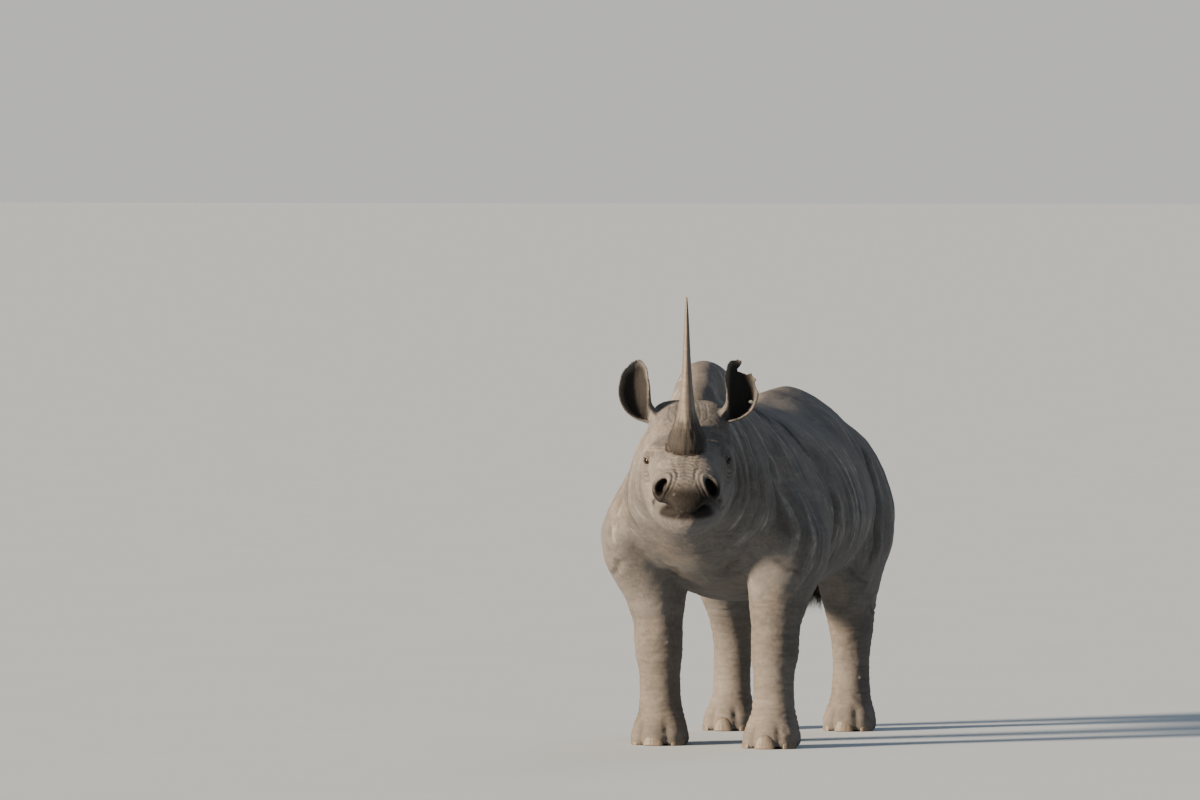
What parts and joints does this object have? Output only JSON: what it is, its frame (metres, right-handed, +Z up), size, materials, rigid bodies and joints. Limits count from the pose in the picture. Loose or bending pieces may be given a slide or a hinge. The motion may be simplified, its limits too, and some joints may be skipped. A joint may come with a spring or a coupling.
{
  "type": "black rhinoceros",
  "caption": "Adult black rhinoceros standing on all four feet, head raised and turned to its left, with a very long slender front horn and a torn left ear.",
  "frame": {"origin": "on the ground, under the middle of the whole animal's box", "axes": "+Z up; the body runs along Y with the head toward -Y; the animal's left side is +X"},
  "size_m": [0.9402, 2.915, 1.8566],
  "materials": {
    "hide": "dry, finely cracked grey hide with dust in its folds",
    "horn": "keratin: fibrous dark collar, polished brown-grey shaft",
    "eye": "wet dark brown eye",
    "nail": "keratin: worn grey-brown toenail"
  },
  "bodies": {
    "root": {"head": "hide", "neck": "hide", "trunk": "hide", "tail": "hide", "leg_front_left": "hide", "leg_front_right": "hide", "leg_hind_left": "hide", "leg_hind_right": "hide", "ear_left": "hide", "ear_right": "hide", "horn_front": "horn", "horn_rear": "horn", "eye_left": "eye", "eye_right": "eye", "nail_front_left_middle": "nail", "nail_front_left_right": "nail", "nail_front_left_left": "nail", "nail_front_right_middle": "nail", "nail_front_right_right": "nail", "nail_front_right_left": "nail", "nail_hind_left_middle": "nail", "nail_hind_left_right": "nail", "nail_hind_left_left": "nail", "nail_hind_right_middle": "nail", "nail_hind_right_right": "nail", "nail_hind_right_left": "nail"}
  },
  "joints": []
}
